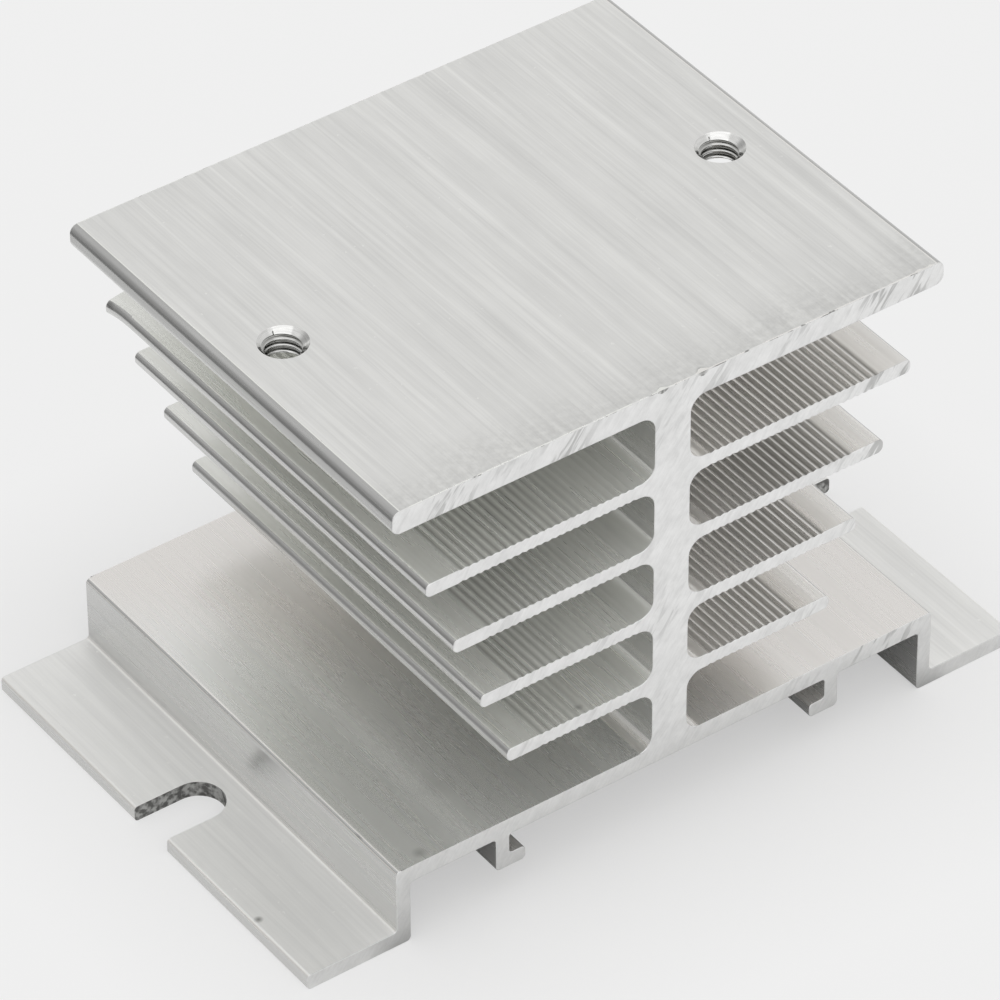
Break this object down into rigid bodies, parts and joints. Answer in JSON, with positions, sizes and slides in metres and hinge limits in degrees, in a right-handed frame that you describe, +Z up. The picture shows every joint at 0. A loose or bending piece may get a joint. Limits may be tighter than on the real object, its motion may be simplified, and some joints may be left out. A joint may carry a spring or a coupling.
{
  "type": "heat sink",
  "caption": "Extruded aluminium heat sink for a single-phase relay: flat tapped seat on a finned web, with a stepped deck, slotted feet and rail hooks.",
  "frame": {"origin": "centre of the box's underside, midway between the feet and midway along the extrusion", "axes": "+X across both feet, +Y along the extrusion, +Z up out of the relay seat"},
  "size_m": [0.08, 0.05, 0.05],
  "materials": {
    "aluminium": "mill-finish extrusion with fine lines along its length, and bright saw-cut ends"
  },
  "bodies": {
    "root": {"heat_sink": "aluminium"}
  },
  "joints": []
}
